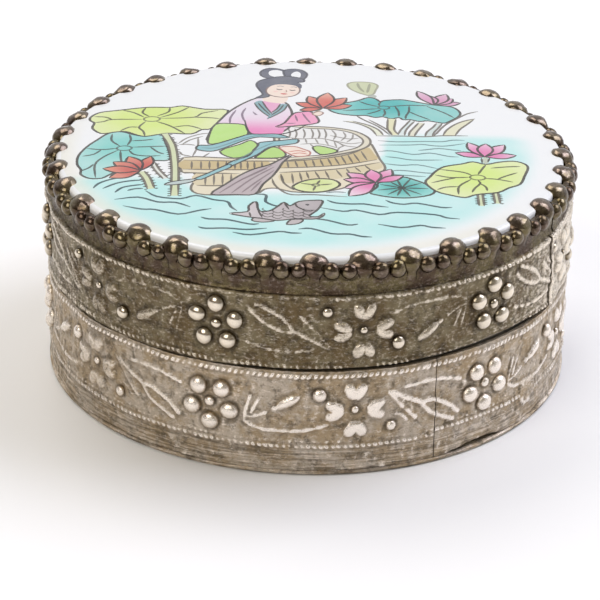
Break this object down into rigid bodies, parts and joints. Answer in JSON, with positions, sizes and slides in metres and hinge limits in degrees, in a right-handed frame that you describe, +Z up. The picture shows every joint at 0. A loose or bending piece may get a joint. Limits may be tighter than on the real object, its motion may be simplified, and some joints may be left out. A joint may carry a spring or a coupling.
{
  "type": "round trinket box",
  "caption": "Round embossed metal trinket or pill box with a lift-off lid; a beaded crown of prongs holds a painted porcelain disc in the lid.",
  "frame": {"origin": "centre of the underside, on the surface that the box stands on", "axes": "+Z up through the lid; the painted scene is upright when seen from -Y"},
  "size_m": [0.064, 0.064, 0.027],
  "materials": {
    "base_silver": "silver-plated brass, embossed, matt and tarnished grey-brown in the recesses, rubbed bright on the relief",
    "lid_silver": "silver-plated brass, embossed, darker brown-grey tarnish with bright rubbed relief",
    "crown_silver": "silver-plated brass, glossy dark brown-black tarnish with sharp highlights",
    "collar_metal": "plain silver-plated sheet, satin, lightly tarnished",
    "packing": "pressed card and plaster packing, matt",
    "porcelain": "glossy white glaze with overglaze enamel painting"
  },
  "bodies": {
    "base": {"base_plate": "base_silver", "base_band": "base_silver", "inner_collar": "collar_metal"},
    "lid": {"lid_band": "lid_silver", "lid_plate": "collar_metal", "crown_bezel": "crown_silver", "porcelain_bed": "packing", "porcelain_disc": "porcelain"}
  },
  "joints": [
    {"name": "lid_lift", "type": "slide", "parent": "base", "child": "lid", "axis": [0, 0, 1], "range_m": [0, 0.03]}
  ]
}
